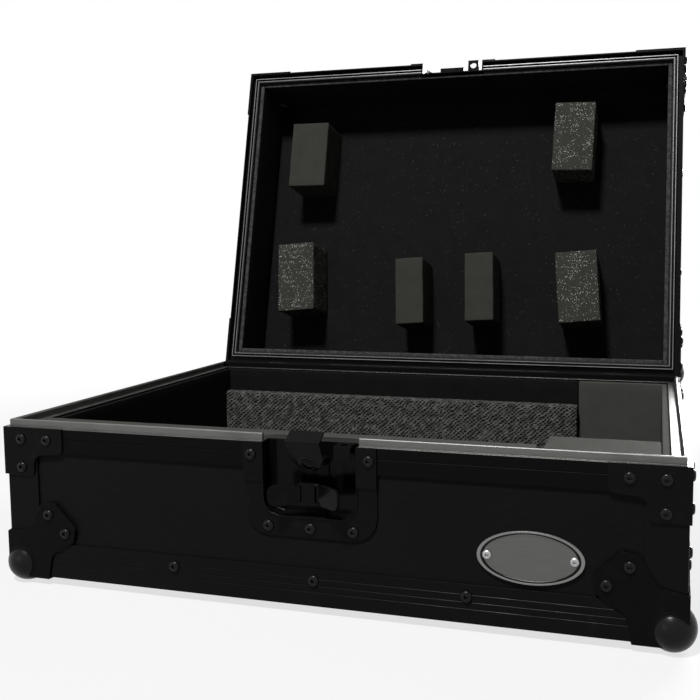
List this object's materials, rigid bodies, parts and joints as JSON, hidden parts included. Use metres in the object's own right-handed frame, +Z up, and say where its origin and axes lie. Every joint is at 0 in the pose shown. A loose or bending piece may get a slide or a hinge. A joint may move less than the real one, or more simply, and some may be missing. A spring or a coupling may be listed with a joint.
{
  "type": "media player flight case",
  "caption": "open flight case of black laminated ply in aluminium edging, ball corners, recessed twist latch and a foam-lined bay with a side compartment",
  "frame": {"origin": "the middle of the bottom panel's underside, between the four ball corners", "axes": "X to the right seen from the latch side, Y to the back where the hinges are, Z up"},
  "size_m": [0.574, 0.5899, 0.5203],
  "materials": {
    "laminate": "black laminate on birch ply, faint hexagonal dimples",
    "edging": "black anodised aluminium extrusion, satin",
    "hardware": "black plated pressed steel, semi gloss",
    "badge": "brushed grey metal, bare",
    "pin": "plain steel",
    "grip": "black moulded grip on steel wire",
    "black_foam": "black EVA foam, matt",
    "textured_foam": "dark grey foam with a pimpled face",
    "grey_foam": "dark grey EVA foam, smooth skin",
    "block_foam": "dark grey foam, cut blocks"
  },
  "bodies": {
    "case": {"badge_plate": "badge", "base_back_panel": "laminate", "base_ball_corner_back_left": "hardware", "base_ball_corner_back_right": "hardware", "base_ball_corner_front_left": "hardware", "base_ball_corner_front_right": "hardware", "base_bottom_panel": "laminate", "base_corner_brace_back_left": "hardware", "base_corner_brace_back_right": "hardware", "base_corner_brace_front_left": "hardware", "base_corner_brace_front_right": "hardware", "base_corner_post_back_left": "edging", "base_corner_post_back_right": "edging", "base_corner_post_front_left": "edging", "base_corner_post_front_right": "edging", "base_edge_frame": "edging", "base_floor_pad": "black_foam", "base_foam_liner": "black_foam", "base_front_panel": "laminate", "base_left_panel": "laminate", "base_right_panel": "laminate", "base_rim_frame": "edging", "compartment_front_block": "block_foam", "compartment_liner": "grey_foam", "front_ledge_pad": "textured_foam", "handle_dish": "hardware", "hinge_base_leaf_left": "hardware", "hinge_base_leaf_right": "hardware", "hinge_pin_left": "pin", "hinge_pin_right": "pin", "latch_dish": "hardware", "rear_textured_pad": "textured_foam"},
    "lid": {"hinge_lid_leaf_left": "hardware", "hinge_lid_leaf_right": "hardware", "lid_ball_corner_back_left": "hardware", "lid_ball_corner_back_right": "hardware", "lid_ball_corner_front_left": "hardware", "lid_ball_corner_front_right": "hardware", "lid_corner_brace_back_left": "hardware", "lid_corner_brace_back_right": "hardware", "lid_corner_brace_front_left": "hardware", "lid_corner_brace_front_right": "hardware", "lid_edge_frame": "edging", "lid_foam_block_back_left": "block_foam", "lid_foam_block_back_middle_left": "block_foam", "lid_foam_block_back_middle_right": "block_foam", "lid_foam_block_back_right": "block_foam", "lid_foam_block_front_left": "block_foam", "lid_foam_block_front_right": "block_foam", "lid_foam_liner": "black_foam", "lid_keeper_dish": "hardware", "lid_rim_frame": "edging", "lid_top_panel": "laminate", "lid_wall_frame": "laminate"},
    "rotor": {"latch_rotor": "hardware"},
    "wing_left": {"latch_wing_left": "hardware"},
    "wing_right": {"latch_wing_right": "hardware"},
    "slide": {"latch_slide": "hardware"},
    "hook": {"latch_hook": "hardware"},
    "handle": {"handle_grip": "grip"}
  },
  "joints": [
    {"name": "lid_hinge", "type": "hinge", "parent": "case", "child": "lid", "pos_m": [0, 0.1995, 0.1274], "axis": [1, 0, 0], "range_deg": [0, 103.7]},
    {"name": "latch_twist", "type": "hinge", "parent": "case", "child": "rotor", "pos_m": [-0.002, -0.1945, 0.0884], "axis": [0, 1, 0], "range_deg": [0, 180]},
    {"name": "latch_slide", "type": "slide", "parent": "case", "child": "slide", "axis": [0, 0, -1], "range_m": [0, 0.008]},
    {"name": "hook_swing", "type": "hinge", "parent": "slide", "child": "hook", "pos_m": [-0.002, -0.1885, 0.113], "axis": [1, 0, 0], "range_deg": [-31, 0]},
    {"name": "wing_left_fold", "type": "hinge", "parent": "rotor", "child": "wing_left", "pos_m": [-0.01, -0.1957, 0.0884], "axis": [0, 0, 1], "range_deg": [-32, 60]},
    {"name": "wing_right_fold", "type": "hinge", "parent": "rotor", "child": "wing_right", "pos_m": [0.006, -0.1957, 0.0884], "axis": [0, 0, -1], "range_deg": [-32, 60]},
    {"name": "handle_fold", "type": "hinge", "parent": "case", "child": "handle", "pos_m": [-0.2753, 0, 0.0893], "axis": [0, 1, 0], "range_deg": [0, 90], "stiffness_Nm_per_rad": 0.12, "springref_deg": -17.19}
  ],
  "couplings": [
    {"joint": "latch_twist", "follows": "latch_slide", "rad_per_m": 392.7}
  ]
}
